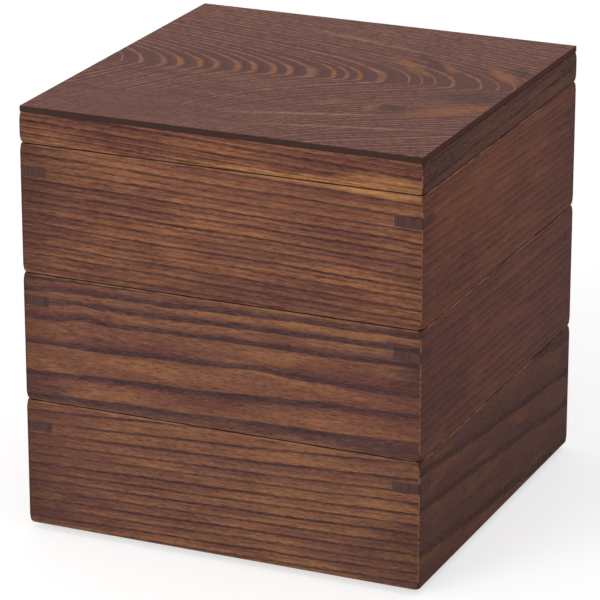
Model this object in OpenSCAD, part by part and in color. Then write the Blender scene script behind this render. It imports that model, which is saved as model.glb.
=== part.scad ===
// Three-tier jubako: square wooden food tiers that nest in each other under one lid.
// The box stands on its lowest nesting strips, centred on the Z axis, with its front to -Y.

/* [Tiers] */
// Outside width and depth of every tier and of the lid
box_w = 195; // [150:1:240]
// Height of the walls of one tier
tier_h = 61.5; // [45:0.5:80]
// Thickness of the tier walls and of the lid rails
wall_t = 9.5; // [8:0.5:13]

/* [Edges] */
// Radius of the outer edges along the top and bottom of each tier
edge_r = 1.1; // [0.6:0.1:1.8]
// Radius down each outer corner
corner_r = 0.8; // [0.4:0.1:1.4]
// Chamfer along the upper inner edge of each tier
mouth_chamfer = 0.7; // [0.3:0.1:1.2]

/* [Base panels] */
// Thickness of the base panel of a tier
base_t = 4; // [3:0.5:6]
// Depth of the groove in the walls that holds the base panel
groove_d = 4; // [3:0.5:5]
// Height of that groove above the underside of the walls
groove_up = 3; // [2:0.5:5]
// Room for the base panel to swell, at the bottom of the groove
swell_gap = 0.4; // [0.2:0.1:0.8]

/* [Nesting strips] */
// Width of a strip, seen from below
strip_w = 6; // [4:0.5:9]
// How far the strips reach below the walls or rails, into the tier below
strip_drop = 3; // [2:0.5:5]
// Clearance round the strips in the mouth of the tier below
nest_gap = 0.5; // [0.3:0.1:1]
// Chamfer along the lower edges of a strip
strip_chamfer = 0.8; // [0.4:0.1:1.4]

/* [Corner keys] */
// Length of a key along each of the two faces
key_leg = 13; // [10:0.5:16]
// Thickness of a key
key_t = 4.5; // [3:0.5:6]
// Distance of a key below the top of its tier
key_down = 10.5; // [8:0.5:16]

/* [Lid] */
// Thickness of the top panel
panel_t = 2.7; // [2:0.1:4]
// Height of the rails under the panel
rail_h = 14.5; // [12:0.1:22]
// How far the edge of the panel stands back from the face of the rails
panel_back = 0.2; // [0:0.1:0.6]
// Radius of the upper edge of the panel
panel_r = 0.5; // [0.3:0.1:0.9]

/* [Hidden] */
$fn = 48;

// The tiers, counted from the bottom
tiers = ["bottom", "middle", "top"];

// Sides are quarter turns from the front, and so are the corners at their right-hand ends
sides = ["front", "right", "back", "left"];
corners = ["front_right", "back_right", "back_left", "front_left"];

// Heights of the lowest walls and of the lid's rails
stack_z = strip_drop;
lid_z = stack_z + len(tiers) * tier_h;

half_w = box_w / 2;
mouth_half = half_w - wall_t;
base_half = mouth_half + groove_d - swell_gap;
strip_half = mouth_half - nest_gap;

// Past this a cutting shape is clear of what it cuts
spare = 1;

front_wood = [0.50, 0.31, 0.20];
side_wood = [0.36, 0.22, 0.17];
panel_wood = [0.42, 0.29, 0.25];
key_wood = [0.27, 0.20, 0.19];
inner_wood = [0.45, 0.27, 0.18];

// Where a name stands in a list of names
function place(name, names) = search([name], names)[0];

// Height of the underside of a tier's walls
function tier_z(tier) = stack_z + place(tier, tiers) * tier_h;

// What a radius of r takes off a square corner whose point is at the origin
module corner_waste(r) {
    difference() {
        translate([-spare, -spare]) square(r + spare);
        translate([r, r]) circle(r);
    }
}

// What a chamfer of c takes off the same corner
module chamfer_waste(c) {
    polygon([[-spare, -spare], [c + spare, -spare], [-spare, c + spare]]);
}

// A square seen in plan, with its four corners rounded
module rounded_square(width, r) {
    difference() {
        square(width, center = true);
        for (turn = [0:3]) {
            rotate(90 * turn) translate([-width / 2, -width / 2]) corner_waste(r);
        }
    }
}

// The quarter of the plan that belongs to the front, between two mitres that meet at the middle
module front_quarter() {
    polygon([[-box_w, -box_w], [box_w, -box_w], [0, 0]]);
}

// Runs a cross-section along the front: its x goes inwards from the outer face, its y goes up
module along_front(outer_half) {
    translate([-outer_half, -outer_half, 0]) rotate([90, 0, 90]) linear_extrude(2 * outer_half) children();
}

// The triangle that a key fills across a mitre, at the front right corner
module key_plan() {
    polygon([
        [half_w + spare, -half_w - spare],
        [half_w + spare, -half_w + key_leg + spare],
        [half_w - key_leg - spare, -half_w - spare]
    ]);
}

// Cross-section of a tier wall: rounded outside, grooved for the base panel, eased at the mouth
module wall_section() {
    difference() {
        square([wall_t, tier_h]);
        corner_waste(edge_r);
        translate([0, tier_h]) mirror([0, 1]) corner_waste(edge_r);
        translate([wall_t - groove_d, groove_up]) square([groove_d + spare, base_t]);
        translate([wall_t, tier_h]) rotate(180) chamfer_waste(mouth_chamfer);
    }
}

// One side of a tier, mitred at both ends, with a slot across each mitre for its key
module wall(tier, side) {
    turn = place(side, sides);
    color(turn % 2 == 0 ? front_wood : side_wood)
    translate([0, 0, tier_z(tier)]) rotate(90 * turn)
    difference() {
        intersection() {
            linear_extrude(tier_h) intersection() {
                rounded_square(box_w, corner_r);
                front_quarter();
            }
            along_front(half_w) wall_section();
        }
        translate([0, 0, tier_h - key_down - key_t]) linear_extrude(key_t) {
            key_plan();
            mirror([1, 0]) key_plan();
        }
    }
}

// The key across one mitre, flush with both faces and rounded down its corner like the walls
module corner_key(tier, corner) {
    color(key_wood)
    translate([0, 0, tier_z(tier) + tier_h - key_down - key_t]) rotate(90 * place(corner, corners))
    linear_extrude(key_t) intersection() {
        rounded_square(box_w, corner_r);
        key_plan();
    }
}

// The board that closes a tier below, held on all sides in the groove of the walls
module base_panel(tier) {
    color(inner_wood)
    translate([0, 0, tier_z(tier) + groove_up])
    linear_extrude(base_t) square(2 * base_half, center = true);
}

// One of four mitred strips, h high, with both of its lower edges chamfered
module strip(side, h) {
    color(inner_wood)
    rotate(90 * place(side, sides))
    intersection() {
        linear_extrude(h) front_quarter();
        along_front(strip_half) difference() {
            square([strip_w, h]);
            chamfer_waste(strip_chamfer);
            translate([strip_w, 0]) mirror([1, 0]) chamfer_waste(strip_chamfer);
        }
    }
}

// The strips under a base panel, which locate the tier in the one below
module base_strip(tier, side) {
    translate([0, 0, tier_z(tier) - strip_drop]) strip(side, strip_drop + groove_up);
}

// One side of the frame that carries the lid's panel, square above and rounded outside below
module rail(side) {
    color(side_wood)
    translate([0, 0, lid_z]) rotate(90 * place(side, sides))
    intersection() {
        linear_extrude(rail_h) intersection() {
            rounded_square(box_w, corner_r);
            front_quarter();
        }
        along_front(half_w) difference() {
            square([wall_t, rail_h]);
            corner_waste(edge_r);
        }
    }
}

// The thin panel on top, a hair inside the rails, with its upper edge eased
module lid_panel() {
    width = box_w - 2 * panel_back;
    color(panel_wood)
    translate([0, 0, lid_z + rail_h])
    intersection() {
        linear_extrude(panel_t) rounded_square(width, corner_r);
        translate([-width / 2, 0, 0]) rotate([90, 0, 90]) linear_extrude(width) panel_section(width);
        rotate(90) translate([-width / 2, 0, 0]) rotate([90, 0, 90]) linear_extrude(width) panel_section(width);
    }
}

// The panel cut across, with its two upper corners rounded
module panel_section(width) {
    difference() {
        translate([-width / 2, 0]) square([width, panel_t]);
        for (end = [0:1]) {
            mirror([end, 0]) translate([-width / 2, panel_t]) mirror([0, 1]) corner_waste(panel_r);
        }
    }
}

// The strips inside the rails, which locate the lid in the top tier
module lid_strip(side) {
    translate([0, 0, lid_z - strip_drop]) strip(side, strip_drop + rail_h);
}

wall("bottom", "front");  // bottom_front_wall
wall("bottom", "right");  // bottom_right_wall
wall("bottom", "back");  // bottom_back_wall
wall("bottom", "left");  // bottom_left_wall
base_panel("bottom");  // bottom_base_panel
corner_key("bottom", "front_right");  // bottom_front_right_key
corner_key("bottom", "back_right");  // bottom_back_right_key
corner_key("bottom", "back_left");  // bottom_back_left_key
corner_key("bottom", "front_left");  // bottom_front_left_key
base_strip("bottom", "front");  // bottom_front_strip
base_strip("bottom", "right");  // bottom_right_strip
base_strip("bottom", "back");  // bottom_back_strip
base_strip("bottom", "left");  // bottom_left_strip

wall("middle", "front");  // middle_front_wall
wall("middle", "right");  // middle_right_wall
wall("middle", "back");  // middle_back_wall
wall("middle", "left");  // middle_left_wall
base_panel("middle");  // middle_base_panel
corner_key("middle", "front_right");  // middle_front_right_key
corner_key("middle", "back_right");  // middle_back_right_key
corner_key("middle", "back_left");  // middle_back_left_key
corner_key("middle", "front_left");  // middle_front_left_key
base_strip("middle", "front");  // middle_front_strip
base_strip("middle", "right");  // middle_right_strip
base_strip("middle", "back");  // middle_back_strip
base_strip("middle", "left");  // middle_left_strip

wall("top", "front");  // top_front_wall
wall("top", "right");  // top_right_wall
wall("top", "back");  // top_back_wall
wall("top", "left");  // top_left_wall
base_panel("top");  // top_base_panel
corner_key("top", "front_right");  // top_front_right_key
corner_key("top", "back_right");  // top_back_right_key
corner_key("top", "back_left");  // top_back_left_key
corner_key("top", "front_left");  // top_front_left_key
base_strip("top", "front");  // top_front_strip
base_strip("top", "right");  // top_right_strip
base_strip("top", "back");  // top_back_strip
base_strip("top", "left");  // top_left_strip

lid_panel();
rail("front");  // lid_front_rail
rail("right");  // lid_right_rail
rail("back");  // lid_back_rail
rail("left");  // lid_left_rail
lid_strip("front");  // lid_front_strip
lid_strip("right");  // lid_right_strip
lid_strip("back");  // lid_back_strip
lid_strip("left");  // lid_left_strip
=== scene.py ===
import math

import bpy
from mathutils import Euler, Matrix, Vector


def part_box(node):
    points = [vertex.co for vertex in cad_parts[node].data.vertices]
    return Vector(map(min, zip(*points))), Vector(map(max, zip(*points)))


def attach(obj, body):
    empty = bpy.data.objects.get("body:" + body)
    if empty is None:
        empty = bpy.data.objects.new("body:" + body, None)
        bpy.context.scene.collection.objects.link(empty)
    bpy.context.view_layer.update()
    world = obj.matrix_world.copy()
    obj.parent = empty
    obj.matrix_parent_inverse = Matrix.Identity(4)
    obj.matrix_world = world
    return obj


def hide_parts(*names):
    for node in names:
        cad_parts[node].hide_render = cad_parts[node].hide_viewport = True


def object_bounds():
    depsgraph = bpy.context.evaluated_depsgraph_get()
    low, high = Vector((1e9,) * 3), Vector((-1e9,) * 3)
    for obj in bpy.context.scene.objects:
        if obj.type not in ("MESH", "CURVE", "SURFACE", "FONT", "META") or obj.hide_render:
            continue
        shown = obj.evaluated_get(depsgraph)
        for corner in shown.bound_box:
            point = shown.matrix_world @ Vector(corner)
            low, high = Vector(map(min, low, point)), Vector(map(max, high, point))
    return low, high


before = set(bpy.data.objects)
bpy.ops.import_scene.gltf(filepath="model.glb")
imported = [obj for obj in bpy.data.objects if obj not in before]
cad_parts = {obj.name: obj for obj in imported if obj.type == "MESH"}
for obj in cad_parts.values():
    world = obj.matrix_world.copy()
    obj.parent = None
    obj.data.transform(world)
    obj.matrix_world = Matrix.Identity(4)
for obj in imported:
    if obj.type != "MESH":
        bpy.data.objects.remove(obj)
cadLow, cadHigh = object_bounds()
tiers = ["bottom", "middle", "top"]
sides = ["front", "right", "back", "left"]  # each a quarter turn on from the one before
millimetres = 1000.0
print("frame loaded:", len(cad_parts), "nodes")


# Camera, at the photograph's viewing angle

cameraSettings = {
    "azimuth": 23.77,
    "elevation": 19.62,
    "distance": 1.669,
    "aim": Vector((-0.0015, -0.0033, 0.0956)),
    "lens": 213.4,
    "sensorWidth": 36.0,  # millimetres, as the lens
    "farthest": 50.0,
}


def placeCamera(settings):
    turn = math.radians(settings["azimuth"])
    rise = math.radians(settings["elevation"])
    back = Vector((math.sin(turn) * math.cos(rise), -math.cos(turn) * math.cos(rise), math.sin(rise)))
    data = bpy.data.cameras.new("camera")
    data.lens = settings["lens"]
    data.sensor_width = settings["sensorWidth"]
    data.clip_end = settings["farthest"]
    camera = bpy.data.objects.new("camera", data)
    camera.location = settings["aim"] + back * settings["distance"]
    camera.rotation_euler = (-back).to_track_quat("-Z", "Y").to_euler()
    bpy.context.scene.collection.objects.link(camera)
    bpy.context.scene.camera = camera


placeCamera(cameraSettings)
print("camera placed")


# Short ways to write shader nodes

def newNode(tree, kind, inputs=None, **settings):
    node = tree.nodes.new(kind)
    for name, value in settings.items():
        setattr(node, name, value)
    for name, value in (inputs or {}).items():
        feed(tree, node.inputs[name], value)
    return node


def feed(tree, socket, value):
    if isinstance(value, bpy.types.NodeSocket):
        tree.links.new(value, socket)
    else:
        socket.default_value = value


def outcome(tree, kind, inputs=None, **settings):
    return newNode(tree, kind, inputs, **settings).outputs[0]


def maths(tree, operation, first, second=0.0, clamp=False):
    return outcome(tree, "ShaderNodeMath", {0: first, 1: second}, operation=operation, use_clamp=clamp)


def total(tree, *values):
    result = values[0]
    for value in values[1:]:
        result = maths(tree, "ADD", result, value)
    return result


def product(tree, *values):
    result = values[0]
    for value in values[1:]:
        result = maths(tree, "MULTIPLY", result, value)
    return result


def less(tree, first, second):
    return maths(tree, "SUBTRACT", first, second)


def ratio(tree, first, second):
    return maths(tree, "DIVIDE", first, second)


def larger(tree, first, second):
    return maths(tree, "MAXIMUM", first, second)


def positive(tree, value):
    return maths(tree, "ABSOLUTE", value)


def lengthOf(tree, first, second):
    # of the slope of a right-angled triangle with these two sides
    return maths(tree, "SQRT", total(tree, product(tree, first, first), product(tree, second, second)))


def partsOf(tree, vector):
    return newNode(tree, "ShaderNodeSeparateXYZ", {0: vector}).outputs


def vectorOf(tree, x=0.0, y=0.0, z=0.0):
    return outcome(tree, "ShaderNodeCombineXYZ", {0: x, 1: y, 2: z})


def vectorMaths(tree, operation, first, second):
    return outcome(tree, "ShaderNodeVectorMath", {0: first, 1: second}, operation=operation)


def fade(tree, value, low, high):
    # 0 at low, 1 at high, a smooth step between them and flat beyond; low may be the larger
    return outcome(tree, "ShaderNodeMapRange", {0: value, 1: low, 2: high},
                   interpolation_type="SMOOTHSTEP")


def noise(tree, place, stretch, detail=2.0, roughness=0.5, shift=None):
    # stretch is the size of the noise in millimetres along, across and into the board
    scaled = vectorMaths(tree, "DIVIDE", place, stretch)
    if shift is not None:
        scaled = vectorMaths(tree, "ADD", scaled, shift)
    return outcome(tree, "ShaderNodeTexNoise", {"Vector": scaled, "Scale": 1.0, "Detail": detail,
                                                "Roughness": roughness})


def blendColours(tree, amount, first, second, mode="MIX"):
    node = newNode(tree, "ShaderNodeMix", data_type="RGBA", blend_type=mode)
    for number, value in ((0, amount), (6, first), (7, second)):
        feed(tree, node.inputs[number], value)
    return node.outputs[2]


def tinted(tree, colour, tint, *amounts):
    # the colour turned towards the tint by the product of the amounts
    return blendColours(tree, product(tree, *amounts), colour, tint)


def paint(red, green, blue):
    # a colour as a screen shows it, 0 to 255, turned into the linear one that a shader takes
    def straight(level):
        level /= 255
        return level / 12.92 if level <= 0.04045 else ((level + 0.055) / 1.055) ** 2.4
    return (straight(red), straight(green), straight(blue), 1.0)


# Ring-porous grain: where the growth rings cross a board, and what the wood is like between them

seedStride = (1.0, 7.31, 3.17)  # moves the noise somewhere else for each seed


def newGroup(name, inputs, outputs):
    group = bpy.data.node_groups.new(name, "ShaderNodeTree")
    group.interface.new_socket("place", in_out="INPUT", socket_type="NodeSocketVector")
    for word in inputs:
        group.interface.new_socket(word, in_out="INPUT", socket_type="NodeSocketFloat")
    for word in outputs:
        group.interface.new_socket(word, in_out="OUTPUT", socket_type="NodeSocketFloat")
    given = group.nodes.new("NodeGroupInput").outputs
    shift = vectorOf(group, *(product(group, given["seed"], stride) for stride in seedStride))
    return group, given, group.nodes.new("NodeGroupOutput").inputs, shift


# How a ring line strays across the face: the size of the noise, its swing in millimetres, and the word
# in a look that makes it weaker or stronger
strays = (
    ((70, 22, 22), 4.5, "wander"),
    ((19, 5, 5), 1.9, "wander"),
    ((3.5, 1.2, 1.2), 1.3, "ragged"),
)


def strayed(tree, given, across, shift):
    result = 0.0
    for stretch, size, word in strays:
        swing = less(tree, noise(tree, given["place"], stretch, 1.0, shift=shift), 0.5)
        result = total(tree, product(tree, swing, size, given[word]), result)
    return total(tree, across, result)


pithWords = ("pithAcross", "acrossSlope", "pithDepth", "depthSlope", "ringWidth", "ringStart",
             "wander", "ragged", "seed")
leastSteepness = 0.1  # how flat a year may lie in the face


def makePithRings():
    # rings round a pith line that runs along the board, in or near it
    group, given, made, shift = newGroup("ringsRoundPith", pithWords, ("rings", "yearWidth"))
    at = partsOf(group, given["place"])
    pithAcross = total(group, given["pithAcross"], product(group, given["acrossSlope"], at[0]))
    pithDepth = total(group, given["pithDepth"], product(group, given["depthSlope"], at[0]))
    across = less(group, strayed(group, given, at[1], shift), pithAcross)
    radius = lengthOf(group, across, less(group, at[2], pithDepth))
    steepness = larger(group, ratio(group, positive(group, across), radius), leastSteepness)
    feed(group, made["rings"], ratio(group, less(group, radius, given["ringStart"]), given["ringWidth"]))
    feed(group, made["yearWidth"], ratio(group, given["ringWidth"], steepness))
    return group


archWords = ("axisAcross", "axisSlope", "apexSpacing", "turnWidth", "farLean", "farStart", "farReach",
             "farBend", "leftLean", "rightLean", "wander", "ragged", "seed")
archChange = {  # in millimetres, where one way of leaning gives way to another
    "leftToRight": (-95.0, 50.0),
    "frontToBack": (-6.0, 5.0),
}


def makeArchRings():
    # the arches of a flat-sawn panel, one inside the next, with their points to the right
    group, given, made, shift = newGroup("ringsInArches", archWords, ("rings", "yearWidth", "fromAxis"))
    at = partsOf(group, given["place"])
    axis = total(group, given["axisAcross"], product(group, given["axisSlope"], at[0]))
    fromAxis = less(group, strayed(group, given, at[1], shift), axis)
    reach = lengthOf(group, fromAxis, given["turnWidth"])
    distance = less(group, reach, given["turnWidth"])

    # behind the axis the arches lean back and bend away, in front they fall steeply on the left only
    onRight = fade(group, at[0], *archChange["leftToRight"])
    frontLean = total(group, given["leftLean"],
                      product(group, less(group, given["rightLean"], given["leftLean"]), onRight))
    behind = fade(group, fromAxis, *archChange["frontToBack"])
    lean = outcome(group, "ShaderNodeMix", {0: behind, 2: frontLean, 3: given["farLean"]})
    far = larger(group, less(group, fromAxis, given["farStart"]), 0.0)
    bow = lengthOf(group, far, given["farReach"])
    lag = total(group, product(group, distance, lean),
                product(group, less(group, bow, given["farReach"]), given["farBend"]))
    slant = total(group, product(group, ratio(group, positive(group, fromAxis), reach), lean),
                  product(group, ratio(group, far, bow), given["farBend"]))
    feed(group, made["rings"], ratio(group, total(group, at[0], lag), given["apexSpacing"]))
    feed(group, made["yearWidth"], ratio(group, given["apexSpacing"], lengthOf(group, slant, 1.0)))
    feed(group, made["fromAxis"], fromAxis)
    return group


grainWords = ("rings", "yearWidth", "uneven", "bandWidth", "evenness", "faintLines", "seed")
grainResults = ("darkWood", "season", "spring", "vigour", "pores", "fibre", "dashes", "patch", "stain")
grainMarks = {
    # the size of each mark in millimetres, along, across and into the board, and its noise's detail
    "clouds": ((24, 4, 4), 2.0, 0.5),
    "pores": ((4.5, 0.5, 0.5), 1.0, 0.5),
    "fibre": ((10, 0.8, 0.8), 3.0, 0.7),
    "dashes": ((3, 0.6, 0.6), 2.0, 0.6),
    "patch": ((50, 7, 7), 2.0, 0.55),
    "stain": ((34, 20, 20), 2.0, 0.5),
}
grainShares = {
    "yearStep": 0.47,  # from one year to the next, on the noise that makes them uneven
    "bandSoftness": 0.3,
    "lateBand": 0.45,  # millimetres of dark before the year ends
    "faintBand": (0.75, 0.1),
    "yearStart": 0.08,
    "cloudEdge": (0.3, 0.62),
    "poreLevel": 0.64,
    "poreCrowding": 0.16,
    "poreEdge": (-0.05, 0.07),
}


def makeGrain():
    group, given, made, shift = newGroup("ringPorousGrain", grainWords, grainResults)
    marks = {mark: noise(group, given["place"], *sizes, shift) for mark, sizes in grainMarks.items()}
    years = total(group, product(group, given["rings"], grainShares["yearStep"]), given["seed"])
    uneven = outcome(group, "ShaderNodeTexNoise", {"W": years, "Scale": 1.0, "Detail": 0.0},
                     noise_dimensions="1D")
    rings = total(group, given["rings"], product(group, less(group, uneven, 0.5), given["uneven"]))
    season = maths(group, "FRACT", rings)
    spring = product(group, season, given["yearWidth"])  # millimetres past the start of the year
    before = product(group, less(group, 1.0, season), given["yearWidth"])

    # each year is dark and porous where its growth began, more in some years and places than in others
    softer = product(group, given["bandWidth"], grainShares["bandSoftness"])
    band = fade(group, spring, given["bandWidth"], softer)
    band = larger(group, band, fade(group, before, grainShares["lateBand"], 0.0))
    halfway = product(group, positive(group, less(group, season, 0.5)), given["yearWidth"])
    faint = product(group, fade(group, halfway, *grainShares["faintBand"]), given["faintLines"])
    begun = total(group, rings, grainShares["yearStart"])
    year = total(group, maths(group, "FLOOR", begun), given["seed"])
    vigour = outcome(group, "ShaderNodeTexWhiteNoise", {"W": year}, noise_dimensions="1D")
    clouds = fade(group, marks["clouds"], *grainShares["cloudEdge"])
    strength = product(group, total(group, product(group, vigour, 0.5), 0.5),
                       total(group, product(group, clouds, 0.5), 0.5))
    strength = total(group, strength, product(group, less(group, 1.0, strength), given["evenness"]))
    darkWood = product(group, larger(group, band, faint), strength)

    # open pores, drawn out along the grain and crowded into the early wood
    crowd = less(group, grainShares["poreLevel"], product(group, darkWood, grainShares["poreCrowding"]))
    pores = fade(group, less(group, marks["pores"], crowd), *grainShares["poreEdge"])
    results = {**marks, "darkWood": darkWood, "season": season, "spring": spring, "vigour": vigour,
               "pores": pores}
    for word in grainResults:
        feed(group, made[word], results[word])
    return group


pithRings = makePithRings()
archRings = makeArchRings()
grainGroup = makeGrain()


def useGroup(tree, group, place, words, look):
    node = newNode(tree, "ShaderNodeGroup", {"place": place}, node_tree=group)
    for word in words:
        feed(tree, node.inputs[word], look[word])
    return node.outputs


# Places on the boards, in millimetres

halfWidth = cadHigh.x * millimetres


def levels(node):
    low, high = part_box(node)
    return low.z * millimetres, high.z * millimetres


def boardSpace(tree, side, base):
    # along the board, up from its lower edge and inwards from its outer face
    where = newNode(tree, "ShaderNodeTexCoord").outputs["Object"]
    turned = outcome(tree, "ShaderNodeMapping", {"Vector": where, "Location": (0, halfWidth, -base),
                                                 "Rotation": (0, 0, -math.pi / 2 * side),
                                                 "Scale": (millimetres,) * 3})
    along, inwards, up = partsOf(tree, turned)
    return vectorOf(tree, along, up, inwards)


def panelSpace(tree, top):
    # along the panel, across it towards the back and down from its upper face
    where = newNode(tree, "ShaderNodeTexCoord").outputs["Object"]
    return outcome(tree, "ShaderNodeMapping", {"Vector": where, "Location": (0, 0, top),
                                               "Scale": (millimetres, millimetres, -millimetres)})


spotEdge = {
    "depth": 40,  # millimetres into the board
    "tears": ((16, 1.6, 1.6), 3.0, 0.6),
    "edge": (1.0, 0.2),
}


def spot(tree, place, centre, size, turn=0.0, ragged=1.6):
    # 1 in the middle of a soft, slightly ragged ellipse on the face and 0 outside it
    middle = Vector((*centre, 0))
    if turn:
        angle = -math.radians(turn)
        place = outcome(tree, "ShaderNodeVectorRotate", {"Vector": place, "Angle": angle},
                        rotation_type="Z_AXIS")
        middle.rotate(Euler((0, 0, angle)))
    moved = vectorMaths(tree, "SUBTRACT", place, middle)
    scaled = vectorMaths(tree, "DIVIDE", moved, (*size, spotEdge["depth"]))
    length = newNode(tree, "ShaderNodeVectorMath", {0: scaled}, operation="LENGTH").outputs["Value"]
    torn = less(tree, noise(tree, place, *spotEdge["tears"]), 0.5)
    return fade(tree, total(tree, length, product(tree, torn, ragged)), *spotEdge["edge"])


lacquer = {
    "crownEdge": (0.3, 0.05),  # past the crown of an arris, as shares of its radius
    "rightTurn": (0.5, 0.8),  # how far a face is turned to the right
    "relief": (-0.7, -0.3),  # of the pores and of the dark wood
    "poreRoughness": 0.15,
}


def arrisLine(tree, first, second, radius):
    # the crown of a rounded arris, where the distances to both faces are equal
    both = total(tree, larger(tree, first, 0.0), larger(tree, second, 0.0))
    crown = 2 - math.sqrt(2)
    return fade(tree, both, *(radius * (crown + edge) for edge in lacquer["crownEdge"]))


def onRightFace(tree):
    # 1 on the faces that look right, where the colour is painted darker and redder as shade
    normal = newNode(tree, "ShaderNodeTexCoord").outputs["Normal"]
    return fade(tree, partsOf(tree, normal)[0], *lacquer["rightTurn"])


def toned(tree, colour, shade, look):
    # the fibre's shade, and the board's tone, which on the right-hand boards is mostly painted shade and
    # on the lid's panel holds a painted sheen
    grey = outcome(tree, "ShaderNodeCombineColor", {0: shade, 1: shade, 2: shade})
    colour = blendColours(tree, 1.0, colour, grey, "MULTIPLY")
    return blendColours(tree, 1.0, colour, (*look["tone"], 1.0), "MULTIPLY")


def finishShader(tree, colour, look, grain):
    marks = (grain["pores"], grain["darkWood"])
    relief = total(tree, *(product(tree, mark, depth) for mark, depth in zip(marks, lacquer["relief"])))
    bump = outcome(tree, "ShaderNodeBump", {"Strength": 1.0, "Distance": look["poreDepth"],
                                            "Height": relief})
    rough = total(tree, product(tree, grain["pores"], lacquer["poreRoughness"]), look["roughness"])
    shader = outcome(tree, "ShaderNodeBsdfPrincipled", {
        "Base Color": colour, "Roughness": rough, "Specular IOR Level": look["specular"], "Normal": bump})
    newNode(tree, "ShaderNodeOutputMaterial", {0: shader})


def emptyMaterial(name):
    material = bpy.data.materials.new(name)
    material.use_nodes = True
    material.node_tree.nodes.clear()
    return material, material.node_tree


# Wiped lacquer on ring-porous wood, and how a board may differ from it

woodFinish = {
    "light": paint(150, 100, 68),
    "mid": paint(118, 77, 63),
    "red": paint(108, 67, 57),
    "dark": paint(73, 50, 47),
    "pore": paint(60, 41, 39),
    "gold": paint(184, 130, 80),
    # lacquer rubbed thin on the arris crowns, with a painted highlight there
    "wornAndLit": paint(164, 118, 88),
    # painted shade in the seams between the parts, on the floor line and on the end arrises that face away
    "paintedShade": paint(26, 18, 17),
    "tone": (1.0, 1.0, 1.0),
    "ringDarkness": 0.9,
    "ringPaleness": 0.3,
    "poreDarkness": 0.45,
    "fibreDepth": 1.1,
    "dashDepth": 1.3,
    "lean": 0.0,  # -1 to 1, how far the board leans from red to light
    "leanReach": 0.18,
    "redEdge": (0.36, 0.66),
    "lightEdge": (0.38, 0.68),
    "lateEdges": ((0.55, 0.8), (1.0, 0.9)),  # where in its year the wood is palest
    "lateGlow": 0.35,
    "patchyPale": 0.8,
    "patchDepth": 0.8,
    "heldBack": 0.7,  # a spot's tint, by the dark wood
    "endShade": 0.12,
    "endReach": 22.0,  # millimetres
    "roughness": 0.5,
    "specular": 0.035,
    "poreDepth": 0.00004,  # metres
    "edgeRadius": 1.1,
    "cornerRadius": 0.8,
    "wearAndShine": 0.7,
    "wornMarks": ((11, 2, 2), 3.0, 0.6),
    "wornEdge": (0.36, 0.62),
    "shadedEndArrises": (0.0, 0.0),  # how strong the painted shade is on the left and right arrises
    "endLine": (1.3, 0.4),  # millimetres from the end, as the painted seam shade's lines are from the edges
    "jointShade": 0.9,
    "lowerJoint": (0.5, 0.18),
    "upperJoint": (0.36, 0.14),
    "jointDepth": (1.6, 0.9),
    "squareTop": False,
    "bumps": (),
    "spots": (),
    "pithAcross": 80, "acrossSlope": 0.01, "pithDepth": 30, "depthSlope": 0.0, "ringWidth": 2.6,
    "ringStart": 0.0, "wander": 0.5, "ragged": 0.5, "bandWidth": 1.2, "evenness": 0.3, "faintLines": 0.4,
    "uneven": 0.8, "seed": 9.0,
}


def woodColour(tree, place, look):
    bent = place
    for centre, size, lift in look["bumps"]:
        rise = product(tree, spot(tree, place, centre, size), -lift)
        bent = vectorMaths(tree, "ADD", bent, vectorOf(tree, 0.0, rise))
    rings, yearWidth = useGroup(tree, pithRings, bent, pithWords, look)
    grain = useGroup(tree, grainGroup, bent, grainWords, {**look, "rings": rings, "yearWidth": yearWidth})
    season, patch = grain["season"], grain["patch"]
    lean = look["lean"] * look["leanReach"]
    redness = fade(tree, grain["stain"], *(edge + lean for edge in look["redEdge"]))
    colour = blendColours(tree, redness, look["mid"], look["red"])
    lightness = fade(tree, patch, *(edge - lean for edge in look["lightEdge"]))
    glow = total(tree, product(tree, lightness, look["patchDepth"]),
                 product(tree, season, look["lateGlow"]))
    colour = tinted(tree, colour, look["light"], glow)
    late = product(tree, *(fade(tree, season, *edge) for edge in look["lateEdges"]))
    pale = product(tree, late, total(tree, product(tree, patch, look["patchyPale"]),
                                     1.0 - look["patchyPale"]))
    colour = tinted(tree, colour, look["light"], pale, look["ringPaleness"])
    colour = tinted(tree, colour, look["dark"], grain["darkWood"], look["ringDarkness"])
    colour = tinted(tree, colour, look["pore"], grain["pores"], look["poreDarkness"])
    shade = total(tree, product(tree, grain["fibre"], look["fibreDepth"]),
                  product(tree, grain["dashes"], look["dashDepth"]),
                  1.0 - look["fibreDepth"] / 2 - look["dashDepth"] / 2)
    return colour, shade, grain


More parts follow.
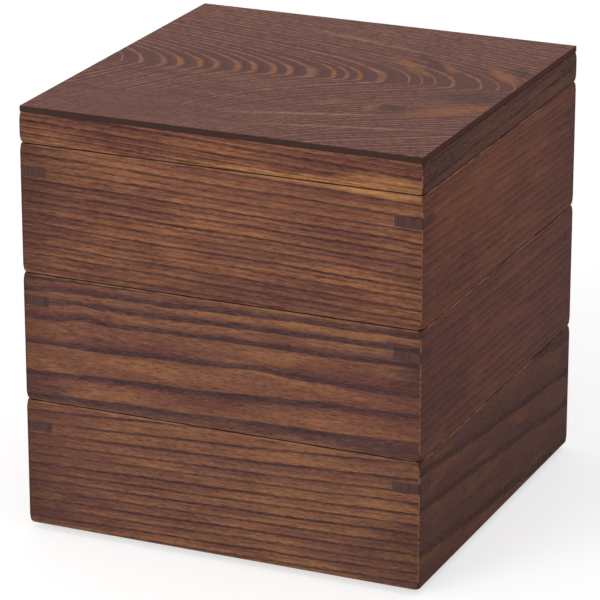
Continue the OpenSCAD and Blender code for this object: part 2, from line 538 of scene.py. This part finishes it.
def boardMaterial(name, board, side, base, height):
    look = {**woodFinish, **board}
    material, tree = emptyMaterial(name)
    place = boardSpace(tree, side, base)
    along, up, inwards = partsOf(tree, place)
    colour, shade, grain = woodColour(tree, place, look)
    fromEnd = less(tree, halfWidth, positive(tree, along))
    ends = fade(tree, fromEnd, 0.0, look["endReach"])
    darkened = total(tree, product(tree, ends, look["endShade"]), 1.0 - look["endShade"])
    shade = product(tree, shade, darkened)
    between = less(tree, 1.0, product(tree, grain["darkWood"], look["heldBack"]))
    for centre, size, strength, tint in look["spots"]:
        colour = tinted(tree, colour, look[tint], spot(tree, place, centre, size), between, strength)
    colour = toned(tree, colour, shade, look)

    # on the crown of the arrises the lacquer is rubbed thin and a painted highlight lies there; painted
    # shade darkens the seams and some end arrises
    fromTop = less(tree, height, up)
    meets = up if look["squareTop"] else maths(tree, "MINIMUM", up, fromTop)
    # lacquer rubbed thin and a painted highlight on the crown of each arris
    crest = larger(tree, arrisLine(tree, inwards, meets, look["edgeRadius"]),
                   arrisLine(tree, inwards, fromEnd, look["cornerRadius"]))
    broken = fade(tree, noise(tree, place, *look["wornMarks"]), *look["wornEdge"])
    colour = tinted(tree, colour, look["wornAndLit"], crest, broken, look["wearAndShine"])
    # painted shade on an end arris that turns away from the light
    for sign, depth in zip((-1.0, 1.0), look["shadedEndArrises"]):
        if depth:
            line = (halfWidth - edge for edge in look["endLine"])
            nearEnd = fade(tree, product(tree, along, sign), *line)
            colour = tinted(tree, colour, look["paintedShade"], nearEnd, depth)
    # painted shade along the seams between tiers, and where the bottom tier meets the floor
    paintedShade = fade(tree, up, *look["lowerJoint"])
    if not look["squareTop"]:
        paintedShade = larger(tree, paintedShade, fade(tree, fromTop, *look["upperJoint"]))
    nearFace = fade(tree, inwards, *look["jointDepth"])
    colour = tinted(tree, colour, look["paintedShade"], paintedShade, nearFace, look["jointShade"])
    finishShader(tree, colour, look, grain)
    return material


# What the boards of one side share, the painted shade on one end arris, and what the two plain ones on the
# right share besides
sideLook = {
    "front": {"shadedEndArrises": (0.6, 0.0)},
    "right": {"shadedEndArrises": (0.0, 0.6)},
}
plainRight = {"pithAcross": 120, "pithDepth": 20, "wander": 0.6, "wearAndShine": 1.0, "ringDarkness": 0.16,
              "dashDepth": 0.55, "fibreDepth": 0.8, "poreDarkness": 0.25, "patchDepth": 0.5}

# How each board was cut and its tone; on the right-hand boards the tone is mostly painted shade. The pith
# is measured in millimetres from the middle of the board's lower outer edge: up the face, and inwards;
# slopes are per millimetre to the right.
boards = {
    "bottomFront": {"pithAcross": 76, "pithDepth": 26, "depthSlope": 0.035, "ringWidth": 4.1,
                    "ringStart": 0.6, "wander": 0.35, "uneven": 0.3, "seed": 1.0, "endShade": 0.16,
                    "bandWidth": 1.5, "faintLines": 0.3, "wearAndShine": 0.8, "tone": (0.94, 1.0, 1.1),
                    "spots": [((-97, 40), (75, 60), 0.6, "red"), ((-97, 10), (50, 30), 0.4, "dark"),
                              ((95, 10), (45, 30), 0.35, "dark")]},
    "middleFront": {"pithAcross": 24.2, "acrossSlope": 0.026, "pithDepth": 40, "depthSlope": 0.0017,
                    "ringWidth": 3.5, "ringStart": 1.87, "wander": 0.6, "ragged": 0.6, "uneven": 0.0,
                    "seed": 2.0, "bandWidth": 3.6, "faintLines": 0.0, "dark": paint(78, 59, 57),
                    "ringDarkness": 0.85, "evenness": 0.6, "endShade": 0.16, "lean": -0.2,
                    "tone": (0.91, 0.94, 1.06),
                    "bumps": [((-65, 44), (18, 13), 1.5), ((20, 31), (16, 7), 1.4)],
                    "spots": [((85, 22), (50, 30), 0.5, "red"), ((-97, 35), (45, 40), 0.4, "red"),
                              ((97, 42), (14, 18), 0.6, "dark"), ((85, 3), (70, 6), 0.6, "dark"),
                              ((-20, 3), (120, 5), 0.4, "dark"), ((-97, 5), (40, 12), 0.4, "dark"),
                              ((-61, 34), (4, 3), 0.5, "dark")]},
    "topFront": {"pithAcross": 88, "acrossSlope": -0.028, "pithDepth": 30, "ringWidth": 4.5,
                 "ringStart": 0.4, "wander": 0.45, "ragged": 0.5, "uneven": 0.4, "seed": 3.0,
                 "bandWidth": 1.3, "faintLines": 0.6, "ringDarkness": 0.95, "endShade": 0.18,
                 "tone": (0.97, 0.96, 1.05),
                 "spots": [((80, 60.4), (36, 3.0), 0.9, "gold"), ((50, 60.9), (70, 1.2), 0.6, "gold"),
                           ((15, 50), (80, 16), 0.3, "light"), ((-97, 40), (50, 60), 0.45, "dark"),
                           ((0, 3), (140, 16), 0.3, "dark")]},
    "lidFront": {"pithAcross": 90, "acrossSlope": -0.042, "pithDepth": 12, "ringWidth": 3.2,
                 "wander": 0.35, "seed": 4.0, "bandWidth": 1.1, "faintLines": 0.5, "squareTop": True,
                 "tone": (0.96, 0.92, 0.99), "jointShade": 0.75,
                 "spots": [((38, 1.3), (80, 2.2), 0.8, "gold"), ((84, 3), (34, 6), 0.6, "gold")]},
    # the tones of the boards on the right are mostly painted shade
    "bottomRight": {"pithAcross": -40, "acrossSlope": -0.09, "pithDepth": 30, "ringWidth": 17.0,
                    "ringStart": 7.0, "wander": 1.1, "wearAndShine": 1.0, "seed": 5.0,
                    "tone": (0.57, 0.49, 0.54), "lean": -0.6, "bandWidth": 6.0, "faintLines": 0.3,
                    "ringDarkness": 0.45, "dashDepth": 0.6},
    "middleRight": {**plainRight, "acrossSlope": -0.02, "ringWidth": 4.2, "seed": 6.0,
                    "tone": (0.75, 0.6, 0.7), "lean": -0.4,
                    "spots": [((-70, 20), (60, 40), 0.3, "dark"), ((80, 10), (60, 40), 0.25, "dark")]},
    "topRight": {**plainRight, "acrossSlope": -0.03, "ringWidth": 4.0, "seed": 7.0,
                 "tone": (0.87, 0.69, 0.71), "lean": -0.3,
                 "spots": [((-20, 44), (75, 26), 0.4, "light"), ((-80, 8), (60, 24), 0.3, "dark"),
                           ((85, 20), (40, 40), 0.25, "dark")]},
    "lidRight": {"pithAcross": -8, "acrossSlope": 0.02, "pithDepth": 24, "ringWidth": 3.0,
                 "wander": 0.6, "seed": 8.0, "tone": (0.54, 0.47, 0.54), "lean": -0.5,
                 "squareTop": True, "wearAndShine": 0.3, "ringDarkness": 0.4,
                 "spots": [((-8, 7), (46, 8), 0.45, "light")]},
    "bottomBack": {"pithAcross": 33, "acrossSlope": 0.02, "pithDepth": 34, "ringWidth": 4.0,
                   "wander": 0.6, "ragged": 0.6, "bandWidth": 2.8, "evenness": 0.5, "endShade": 0.16,
                   "faintLines": 0.1, "tone": (0.93, 0.96, 1.06),
                   "bumps": [((34, 40), (20, 12), 1.5)],
                   "spots": [((60, 10), (80, 26), 0.35, "dark"), ((-40, 46), (80, 16), 0.3, "light")]},
    "middleBack": {"pithAcross": 84, "acrossSlope": -0.022, "pithDepth": 26, "ringWidth": 4.3,
                   "wander": 0.4, "bandWidth": 1.4, "endShade": 0.16,
                   "spots": [((-60, 60.4), (60, 2.4), 0.7, "gold"), ((20, 6), (120, 16), 0.3, "dark")]},
    "topBack": {"pithAcross": 100, "acrossSlope": 0.045, "pithDepth": 24, "ringWidth": 5.2,
                "wander": 0.6, "bandWidth": 1.8, "lean": -0.2, "endShade": 0.18,
                "tone": (0.95, 0.93, 1.0),
                "spots": [((70, 50), (70, 20), 0.35, "dark"), ((-50, 14), (90, 20), 0.3, "light")]},
    "lidBack": {"pithAcross": 60, "acrossSlope": 0.03, "pithDepth": 20, "ringWidth": 3.2,
                "bandWidth": 1.2, "squareTop": True, "tone": (0.95, 0.92, 1.0)},
    "bottomLeft": {"pithAcross": 92, "acrossSlope": 0.03, "pithDepth": 28, "ringWidth": 4.8,
                   "wander": 0.4, "bandWidth": 1.5, "endShade": 0.16, "tone": (0.94, 0.96, 1.04),
                   "spots": [((90, 30), (50, 60), 0.4, "red")]},
    "middleLeft": {"pithAcross": -46, "acrossSlope": 0.06, "pithDepth": 30, "ringWidth": 9.0,
                   "wander": 0.9, "bandWidth": 3.2, "lean": -0.3, "ringDarkness": 0.7, "endShade": 0.16,
                   "tone": (0.92, 0.9, 1.0)},
    "topLeft": {"pithAcross": 76, "acrossSlope": -0.04, "pithDepth": 22, "ringWidth": 4.2,
                "wander": 0.5, "bandWidth": 1.4, "lean": 0.1, "endShade": 0.18,
                "spots": [((-40, 59.8), (70, 2.6), 0.7, "gold")]},
    "lidLeft": {"pithAcross": 84, "acrossSlope": -0.03, "pithDepth": 14, "ringWidth": 3.0,
                "bandWidth": 1.1, "squareTop": True, "tone": (0.96, 0.92, 1.0)},
}


# The lid's panel, flat-sawn: thin pale ring lines in arches, amber where they turn

panelLook = {
    "axisAcross": -0.3, "axisSlope": 0.143, "apexSpacing": 8.8, "turnWidth": 3.0, "farLean": 0.5,
    "farStart": 8.0, "farReach": 45.0, "farBend": 3.0, "leftLean": 0.55, "rightLean": 2.3, "wander": 0.6,
    "ragged": 0.6, "uneven": 0.9, "bandWidth": 2.0, "evenness": 0.3, "faintLines": 0.0, "seed": 12.0,
    # the base and deep colours and the tone below are the panel's colour with a painted grey sheen laid in
    "base": paint(146, 104, 94),
    "deep": paint(124, 88, 83),
    "line": paint(218, 168, 145),
    "amber": paint(205, 143, 99),
    "dusk": paint(100, 77, 80),
    "edge": paint(66, 47, 43),
    # the panel's dark edge, with painted shade where it faces right
    "shadedRightEdge": paint(76, 38, 30),
    "lineWidth": 1.5,
    "lineSoftness": 0.35,
    "amberWidth": 4.3,
    "amberAcross": 5.0,  # its middle, behind the arches' axis
    "amberReach": (14.0, 4.0),
    "amberAlong": ((44.0, 28.0), (-86.0, -66.0)),
    "patchEdge": (0.3, 0.62),
    "lineStrength": (0.35, 0.45, 0.4),  # from patch to patch, from year to year, and everywhere
    "leastWarmth": 0.3,
    "duskEdge": (0.9, 0.3),
    "duskShare": 0.6,
    "halfYearDepth": 0.8,
    "halfYearWidth": (0.8, 0.25),
    "halfYearAcross": (3.0, -9.0),
    "halfYearAlong": (30.0, -40.0),
    "edgeInset": (0.6, 0.35),
    "fibreDepth": 1.1,
    "tone": (0.735, 0.62, 0.60),
    "roughness": 0.5,
    "specular": 0.03,
    "poreDepth": 0.00004,
    "strokes": [((38, 34), (28, 4.5), -42, 0.75, "amber"), ((57, 36), (12, 4), -52, 0.6, "amber"),
                ((84.5, 34), (21, 6), -48, 0.75, "amber"), ((27.5, -35.5), (13, 4), 45, 0.6, "amber"),
                ((48, -35.5), (9, 5), 85, 0.65, "amber"), ((83, -28), (31, 8), 40, 0.8, "amber"),
                ((57, -35), (12, 7), 0, 0.6, "dusk"), ((90, 42), (12, 7), -50, 0.6, "dusk"),
                ((85, -4), (26, 14), 20, 0.6, "dusk"), ((46, 42), (24, 4.5), -48, 0.6, "dusk"),
                ((5, 64.5), (52, 2.4), -15, 0.7, "line"), ((25, -57), (52, 2.2), 18.5, 0.8, "line"),
                ((50, -69), (64, 2), 15, 0.75, "line")],
    "strokeTear": 0.8,
    "calm": ((-60, -76), (52, 32)),  # a place with little figure
    "calmGlow": 0.12,
    "calmDepth": 0.7,
    "poreDarkness": 0.7,
}


def panelMaterial(name, look, top):
    material, tree = emptyMaterial(name)
    place = panelSpace(tree, top)
    along, across = partsOf(tree, place)[:2]
    rings, yearWidth, fromAxis = useGroup(tree, archRings, place, archWords, look)
    grain = useGroup(tree, grainGroup, place, grainWords, {**look, "rings": rings, "yearWidth": yearWidth})
    season, vigour = grain["season"], grain["vigour"]

    # the pale line of each year, broad and amber where the arches turn
    amber = fade(tree, positive(tree, less(tree, fromAxis, look["amberAcross"])), *look["amberReach"])
    amber = product(tree, amber, *(fade(tree, along, *edge) for edge in look["amberAlong"]))
    width = total(tree, product(tree, amber, look["amberWidth"] - look["lineWidth"]), look["lineWidth"])
    line = fade(tree, grain["spring"], width, product(tree, width, look["lineSoftness"]))
    patchy = fade(tree, grain["patch"], *look["patchEdge"])
    halfway = product(tree, positive(tree, less(tree, season, 0.5)), yearWidth)
    halfYear = product(tree, fade(tree, halfway, *look["halfYearWidth"]),
                       product(tree, fade(tree, fromAxis, *look["halfYearAcross"]),
                               fade(tree, along, *look["halfYearAlong"])), patchy, look["halfYearDepth"])
    line = larger(tree, line, halfYear)

    colour = blendColours(tree, grain["stain"], look["base"], look["deep"])
    calm = spot(tree, place, *look["calm"])
    colour = tinted(tree, colour, look["line"], calm, look["calmGlow"])
    between = fade(tree, season, *look["duskEdge"])
    colour = tinted(tree, colour, look["dusk"], amber, between, look["duskShare"])
    warmth = total(tree, vigour, look["leastWarmth"])
    lineColour = tinted(tree, look["line"], look["amber"], amber, warmth)
    byPatch, byYear, everywhere = look["lineStrength"]
    strength = total(tree, product(tree, patchy, byPatch), product(tree, vigour, byYear), everywhere)
    figured = less(tree, 1.0, product(tree, calm, look["calmDepth"]))
    colour = tinted(tree, colour, lineColour, line, strength, figured)
    for centre, size, turn, depth, tint in look["strokes"]:
        stroke = spot(tree, place, centre, size, turn, look["strokeTear"])
        colour = tinted(tree, colour, look[tint], stroke, depth)
    colour = tinted(tree, colour, look["dusk"], grain["pores"], look["poreDarkness"])
    shade = total(tree, product(tree, grain["fibre"], look["fibreDepth"]), 1.0 - look["fibreDepth"] / 2)
    colour = toned(tree, colour, shade, look)

    outer = larger(tree, positive(tree, along), positive(tree, across))
    side = fade(tree, outer, *(halfWidth - inset for inset in look["edgeInset"]))
    # the dark edge of the panel, with painted shade on the side that faces right
    edge = blendColours(tree, onRightFace(tree), look["edge"], look["shadedRightEdge"])
    finishShader(tree, blendColours(tree, side, colour, edge), look, grain)
    return material


# The keys and the wood inside, in plainer finishes

keyLook = {
    **woodFinish,
    "mid": paint(85, 62, 58),
    "light": paint(91, 67, 63),
    "hatch": paint(60, 43, 42),
    # painted shade: the keys' faces that look right are made darker and redder
    "rightShade": (1.15, 0.8, 0.74, 1.0),
    "blotches": (4, 4, 4),
    "hatchMarks": ((0.7, 0.7, 9), 2.0, 0.6),
    "hatchEdge": (0.42, 0.68),
    "hatchDepth": 0.55,
}


def keyMaterial(name, look):
    material, tree = emptyMaterial(name)
    where = newNode(tree, "ShaderNodeTexCoord").outputs["Object"]
    place = vectorMaths(tree, "MULTIPLY", where, (millimetres,) * 3)
    colour = blendColours(tree, noise(tree, place, look["blotches"]), look["mid"], look["light"])
    hatch = fade(tree, noise(tree, place, *look["hatchMarks"]), *look["hatchEdge"])
    colour = tinted(tree, colour, look["hatch"], hatch, look["hatchDepth"])
    # painted shade on the faces that look right
    colour = blendColours(tree, onRightFace(tree), colour, look["rightShade"], "MULTIPLY")
    finishShader(tree, colour, look, {"pores": hatch, "darkWood": hatch})
    return material


innerLook = {**woodFinish, "tone": (0.95, 0.95, 1.0), "ringDarkness": 0.6, "pithAcross": 40,
             "pithDepth": 60, "seed": 30.0}


def innerMaterial(name, look, side):
    material, tree = emptyMaterial(name)
    colour, shade, grain = woodColour(tree, boardSpace(tree, side, 0.0), look)
    finishShader(tree, toned(tree, colour, shade, look), look, grain)
    return material


def boardMaterials(prefix, nodes, seed):
    # one for each side, in the order of the sides
    result = []
    for side, node in enumerate(nodes):
        low, high = levels(node)
        place = sides[side]
        look = {"seed": seed + side, **sideLook.get(place, {}), **boards[prefix + place.title()]}
        result.append(boardMaterial(node + "_wood", look, side, low, high - low))
    return result


firstSeed = 20.0  # of the boards that name none
wallNodes = {tier: [f"{tier}_{side}_wall" for side in sides] for tier in tiers}
railNodes = [f"lid_{side}_rail" for side in sides]
corners = ["front_right", "back_right", "back_left", "front_left"]
wallWood = {tier: boardMaterials(tier, wallNodes[tier], firstSeed + len(sides) * number)
            for number, tier in enumerate(tiers)}
railWood = boardMaterials("lid", railNodes, firstSeed + len(sides) * len(tiers))
keyWood = keyMaterial("key_wood", keyLook)
print("wood mixed:", len(bpy.data.materials), "materials")


# Geometry Nodes: boards that meet in mitres round a square, and the keys let in across their corners

def newTree(name, words):
    tree = bpy.data.node_groups.new(name, "GeometryNodeTree")
    for word, kind in words.items():
        tree.interface.new_socket(word, in_out="INPUT", socket_type="NodeSocket" + kind)
    tree.interface.new_socket("mesh", in_out="OUTPUT", socket_type="NodeSocketGeometry")
    return tree, tree.nodes.new("NodeGroupInput").outputs


def capture(tree, geometry, kind, value, domain="POINT"):
    # keeps a value as it is here for use further on
    node = newNode(tree, "GeometryNodeCaptureAttribute", {"Geometry": geometry}, domain=domain)
    node.capture_items.new(kind, "kept")
    feed(tree, node.inputs[1], value)
    return node.outputs[0], node.outputs[1]


def squareCurve(tree, width, height):
    return outcome(tree, "GeometryNodeCurvePrimitiveQuadrilateral", {"Width": width, "Height": height})


def rounded(tree, curve, steps, radius):
    return outcome(tree, "GeometryNodeFilletCurve", {"Curve": curve, "Count": steps, "Radius": radius},
                   mode="POLY")


def swept(tree, path, section):
    return outcome(tree, "GeometryNodeCurveToMesh", {"Curve": path, "Profile Curve": section,
                                                     "Fill Caps": True})


def block(tree, size, centre, turn=0.0):
    cube = outcome(tree, "GeometryNodeMeshCube", {"Size": size})
    return outcome(tree, "GeometryNodeTransform", {"Geometry": cube, "Translation": centre,
                                                   "Rotation": (0, 0, turn)})


def roundedPost(tree, halfWidth, radius, height, steps):
    # an upright square post, as wide as a tier and with its corners rounded
    width = product(tree, halfWidth, 2.0)
    plan = rounded(tree, squareCurve(tree, width, width), steps, radius)
    upright = outcome(tree, "GeometryNodeCurvePrimitiveLine", {"End": vectorOf(tree, 0.0, 0.0, height)})
    return swept(tree, upright, plan)


def cornerBlock(tree, halfWidth, leg, low, high, end):
    # a block turned by an eighth, whose one face cuts straight across a front corner of the plan
    width = product(tree, leg, 2.0)
    size = vectorOf(tree, width, width, less(tree, high, low))
    out = total(tree, halfWidth, product(tree, leg, math.sqrt(0.5) - 0.5))
    centre = vectorOf(tree, product(tree, out, end), product(tree, out, -1.0),
                      product(tree, total(tree, low, high), 0.5))
    return block(tree, size, centre, math.pi / 4)


def roundFourSides(tree, mesh, materials):
    # the piece once for each side, a quarter turn apart, all in one material or each in its own
    spots = outcome(tree, "GeometryNodePoints", {"Count": len(sides)})
    index = outcome(tree, "GeometryNodeInputIndex")
    turn = vectorOf(tree, 0.0, 0.0, product(tree, index, math.pi / 2))
    copies = outcome(tree, "GeometryNodeInstanceOnPoints", {"Points": spots, "Instance": mesh,
                                                            "Rotation": turn})
    copies, side = capture(tree, copies, "FLOAT", index, "INSTANCE")
    result = outcome(tree, "GeometryNodeRealizeInstances", {"Geometry": copies})
    result = outcome(tree, "GeometryNodeSetShadeSmooth", {"Geometry": result, "Shade Smooth": False})
    for number, material in enumerate(materials):
        chosen = maths(tree, "COMPARE", side, float(number)) if number else True
        result = outcome(tree, "GeometryNodeSetMaterial", {"Geometry": result, "Selection": chosen,
                                                           "Material": material})
    return result


boardWords = ("halfWidth", "thickness", "height", "base", "lowerRadius", "upperRadius", "cornerRadius",
              "cornerEase", "easeHeight", "mouthChamfer", "mitreGap", "grooveDepth", "grooveLow",
              "grooveHigh", "slotLeg", "slotLow", "slotHigh")
faceShare = -0.499  # of the thickness; a point further out than this lies on the outer face
mergeDistance = 1e-6  # metres


def makeSection(tree, given):
    # the cross-section: outer arrises rounded, the inner one at the mouth chamfered
    box = squareCurve(tree, given["thickness"], given["height"])
    position = outcome(tree, "GeometryNodeInputPosition")
    x, y = partsOf(tree, position)[:2]
    outer = maths(tree, "LESS_THAN", x, 0.0)
    upper = maths(tree, "GREATER_THAN", y, 0.0)
    radius = outcome(tree, "ShaderNodeMix", {0: upper, 2: given["lowerRadius"], 3: given["upperRadius"]})
    section = rounded(tree, box, given["arcSteps"], product(tree, radius, outer))
    chamfer = product(tree, given["mouthChamfer"], upper, less(tree, 1.0, outer))
    section = rounded(tree, section, 1, chamfer)
    onFace = maths(tree, "LESS_THAN", x, product(tree, given["thickness"], faceShare))
    cuts = product(tree, onFace, given["faceSteps"])
    section = outcome(tree, "GeometryNodeSubdivideCurve", {"Curve": section, "Cuts": cuts})
    return capture(tree, section, "VECTOR", position)


def mitred(tree, given, board, drawn, column):
    # at either end a point's place along the board follows from its depth behind the face
    middle = total(tree, given["arcSteps"], 0.5)
    fromMiddle = less(tree, column, middle)
    end = less(tree, product(tree, maths(tree, "GREATER_THAN", column, middle), 2.0), 1.0)
    step = less(tree, positive(tree, fromMiddle), 0.5)
    angle = product(tree, ratio(tree, step, given["arcSteps"]), math.pi / 4)
    x, y = partsOf(tree, drawn)[:2]
    halfHeight = product(tree, given["height"], 0.5)
    depth = total(tree, x, product(tree, given["thickness"], 0.5))
    height = total(tree, y, halfHeight, given["base"])
    fromEdge = less(tree, halfHeight, positive(tree, y))
    ease = maths(tree, "SUBTRACT", 1.0, ratio(tree, fromEdge, given["easeHeight"]), clamp=True)
    radius = total(tree, given["cornerRadius"], product(tree, ease, ease, given["cornerEase"]))
    arc = larger(tree, less(tree, radius, depth), 0.0)
    inwards = less(tree, total(tree, depth, arc), product(tree, arc, maths(tree, "COSINE", angle)))
    shorter = less(tree, total(tree, depth, arc, given["mitreGap"]),
                   product(tree, arc, maths(tree, "SINE", angle)))
    along = product(tree, less(tree, given["halfWidth"], shorter), end)
    where = vectorOf(tree, along, less(tree, inwards, given["halfWidth"]), height)
    board = outcome(tree, "GeometryNodeSetPosition", {"Geometry": board, "Position": where})
    return outcome(tree, "GeometryNodeMergeByDistance", {"Geometry": board, "Distance": mergeDistance})


def grooved(tree, given, board):
    # the groove for the base panel, and a slot for a key at either end
    cuts = newNode(tree, "GeometryNodeMeshBoolean", {"Mesh 1": board}, operation="DIFFERENCE",
                   solver="EXACT")
    reach = less(tree, total(tree, given["halfWidth"], given["grooveDepth"]), given["thickness"])
    width = product(tree, reach, 2.0)
    size = vectorOf(tree, width, width, less(tree, given["grooveHigh"], given["grooveLow"]))
    middle = product(tree, total(tree, given["grooveLow"], given["grooveHigh"]), 0.5)
    tree.links.new(block(tree, size, vectorOf(tree, 0.0, 0.0, middle)), cuts.inputs["Mesh 2"])
    for end in (-1.0, 1.0):
        slot = cornerBlock(tree, given["halfWidth"], given["slotLeg"], given["slotLow"],
                           given["slotHigh"], end)
        tree.links.new(slot, cuts.inputs["Mesh 2"])
    return cuts.outputs[0]


def makeBoardTree():
    tree, given = newTree("mitredBoards", {"arcSteps": "Int", "faceSteps": "Int", "cut": "Bool",
                                           **dict.fromkeys(boardWords, "Float"),
                                           **dict.fromkeys(sides, "Material")})
    section, drawn = makeSection(tree, given)

    # along the board, a column of points for each step round the two corner arcs
    columns = total(tree, product(tree, given["arcSteps"], 2.0), 2.0)
    line = outcome(tree, "GeometryNodeCurvePrimitiveLine", {"End": (1, 0, 0)})
    line = outcome(tree, "GeometryNodeResampleCurve", {"Curve": line, "Count": columns})
    line, column = capture(tree, line, "FLOAT", outcome(tree, "GeometryNodeInputIndex"))
    board = mitred(tree, given, swept(tree, line, section), drawn, column)
    board = outcome(tree, "GeometryNodeSwitch", {0: given["cut"], 1: board,
                                                 2: grooved(tree, given, board)})
    newNode(tree, "NodeGroupOutput", {0: roundFourSides(tree, board, [given[side] for side in sides])})
    return tree


keyWords = ("halfWidth", "cornerRadius", "leg", "low", "high")


def makeKeyTree():
    tree, given = newTree("cornerKeys", {"arcSteps": "Int", **dict.fromkeys(keyWords, "Float"),
                                         "wood": "Material"})
    post = roundedPost(tree, given["halfWidth"], given["cornerRadius"], product(tree, given["high"], 2.0),
                       given["arcSteps"])
    slot = cornerBlock(tree, given["halfWidth"], given["leg"], given["low"], given["high"], 1.0)
    key = newNode(tree, "GeometryNodeMeshBoolean", operation="INTERSECT", solver="EXACT")
    tree.links.new(post, key.inputs["Mesh 2"])
    tree.links.new(slot, key.inputs["Mesh 2"])
    newNode(tree, "NodeGroupOutput", {0: roundFourSides(tree, key.outputs[0], [given["wood"]])})
    return tree


def runTree(name, tree, values):
    # what the tree makes, as a plain mesh
    thing = bpy.data.objects.new(name, bpy.data.meshes.new(name))
    modifier = thing.modifiers.new("shape", "NODES")
    modifier.node_group = tree
    for socket in tree.interface.items_tree:
        if socket.in_out == "INPUT":
            modifier[socket.identifier] = values[socket.name]
    bpy.context.scene.collection.objects.link(thing)
    made = thing.evaluated_get(bpy.context.evaluated_depsgraph_get())
    mesh = bpy.data.meshes.new_from_object(made)
    thing.modifiers.remove(modifier)
    thing.data = mesh
    mesh.name = name
    for number in reversed(range(len(mesh.materials))):
        if mesh.materials[number] is None:
            mesh.materials.pop(index=number)
    return thing


boardTree = makeBoardTree()
keyTree = makeKeyTree()


# The walls of the tiers and the rails of the lid, sized from the frame, in metres

boardEdges = {
    "arcSteps": 8,
    "faceSteps": 36,
    "cornerRadius": 0.0008,
    "cornerEase": 0.0022,  # added to that radius where the corner meets the edges
    "easeHeight": 0.0045,
    "mitreGap": 0.00002,
    "slotGap": 0.00006,
    "lowerRadius": 0.0011,
    "mouthChamfer": 0.0007,
    "grooveRoom": 0.0004,  # left round the base panel
}


def makeBoards(name, body, nodes, materials, edges, base=None, key=None):
    low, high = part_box(nodes[0])
    values = {**dict.fromkeys(boardWords, 0.0), **edges, **dict(zip(sides, materials)), "cut": bool(base),
              "halfWidth": cadHigh.x, "thickness": high.y - low.y, "height": high.z - low.z, "base": low.z}
    if base:
        baseLow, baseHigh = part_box(base)
        keyLow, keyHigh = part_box(key)
        gap = edges["slotGap"]
        values.update(upperRadius=edges["lowerRadius"], grooveLow=baseLow.z, grooveHigh=baseHigh.z,
                      grooveDepth=baseHigh.x + edges["grooveRoom"] - (cadHigh.x - values["thickness"]),
                      slotLeg=keyHigh.x - keyLow.x + gap, slotLow=keyLow.z - gap, slotHigh=keyHigh.z + gap)
    else:
        values["mouthChamfer"] = 0.0
    piece = runTree(name, boardTree, values)
    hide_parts(*nodes)
    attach(piece, body)
    return piece


def makeKeys(name, body, nodes, material, edges):
    low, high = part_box(nodes[0])
    piece = runTree(name, keyTree, {**edges, "halfWidth": cadHigh.x, "leg": high.x - low.x, "low": low.z,
                                    "high": high.z, "wood": material})
    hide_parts(*nodes)
    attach(piece, body)
    return piece


def assign(node, material):
    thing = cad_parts[node]
    thing.data.materials.clear()
    thing.data.materials.append(material)


innerWood = [innerMaterial(f"inner_{side}_wood", innerLook, number) for number, side in enumerate(sides)]
for tier in tiers:
    keyNodes = [f"{tier}_{corner}_key" for corner in corners]
    walls = makeBoards(f"{tier}_walls", f"{tier}_tier", wallNodes[tier], wallWood[tier], boardEdges,
                       f"{tier}_base_panel", keyNodes[0])
    makeKeys(f"{tier}_keys", f"{tier}_tier", keyNodes, keyWood, boardEdges)
    assign(f"{tier}_base_panel", innerWood[0])
    for side, material in zip(sides, innerWood):
        assign(f"{tier}_{side}_strip", material)
    print(tier, "tier built")
makeBoards("lid_rails", "lid", railNodes, railWood, boardEdges)
for side, material in zip(sides, innerWood):
    assign(f"lid_{side}_strip", material)
assign("lid_panel", panelMaterial("lid_panel_wood", panelLook, levels("lid_panel")[1]))
print("lid built")


# A plain white floor and soft studio light

studio = {
    "floorColour": (0.8, 0.8, 0.8, 1.0),
    "floorLift": 0.59,  # what the camera sees added to the floor, which keeps its shadow
    "floorHalf": 4.0,
    "ambient": 0.5,
    "keyPlace": Vector((-1.1, -2.6, 0.75)),
    "keyAim": Vector((0, 0, 0.1)),
    "keySize": 1.6,
    "keyPower": 38.0,
}


def whereSeen(tree, hidden, shown):
    # one value where a thing is seen or mirrored, another where it only sends light on
    rays = newNode(tree, "ShaderNodeLightPath").outputs
    seen = larger(tree, rays["Is Camera Ray"], rays["Is Glossy Ray"])
    seen = larger(tree, seen, rays["Is Transmission Ray"])
    return outcome(tree, "ShaderNodeMapRange", {0: seen, 3: hidden, 4: shown})


def makeStudio(settings):
    half = settings["floorHalf"]
    mesh = bpy.data.meshes.new("floor")
    plan = [(-half, -half, 0), (half, -half, 0), (half, half, 0), (-half, half, 0)]
    mesh.from_pydata(plan, [], [(0, 1, 2, 3)])
    floor = bpy.data.objects.new("floor", mesh)
    bpy.context.scene.collection.objects.link(floor)
    material, tree = emptyMaterial("floorPaper")
    lift = whereSeen(tree, 0.0, settings["floorLift"])
    glow = outcome(tree, "ShaderNodeEmission", {"Color": (1, 1, 1, 1), "Strength": lift})
    paper = outcome(tree, "ShaderNodeBsdfDiffuse", {"Color": settings["floorColour"]})
    both = outcome(tree, "ShaderNodeAddShader", {0: paper, 1: glow})
    newNode(tree, "ShaderNodeOutputMaterial", {0: both})
    mesh.materials.append(material)

    world = bpy.data.worlds.new("studio")
    bpy.context.scene.world = world
    world.use_nodes = True
    tree = world.node_tree
    tree.nodes.clear()
    level = whereSeen(tree, settings["ambient"], 1.0)
    background = outcome(tree, "ShaderNodeBackground", {"Color": (1, 1, 1, 1), "Strength": level})
    newNode(tree, "ShaderNodeOutputWorld", {0: background})

    lamp = bpy.data.lights.new("key", "AREA")
    lamp.shape = "DISK"
    lamp.size = settings["keySize"]
    lamp.energy = settings["keyPower"]
    key = bpy.data.objects.new("key", lamp)
    key.location = settings["keyPlace"]
    key.rotation_euler = (settings["keyAim"] - settings["keyPlace"]).to_track_quat("-Z", "Y").to_euler()
    bpy.context.scene.collection.objects.link(key)
    bpy.context.scene.view_settings.view_transform = "Standard"


makeStudio(studio)
print("studio lit")
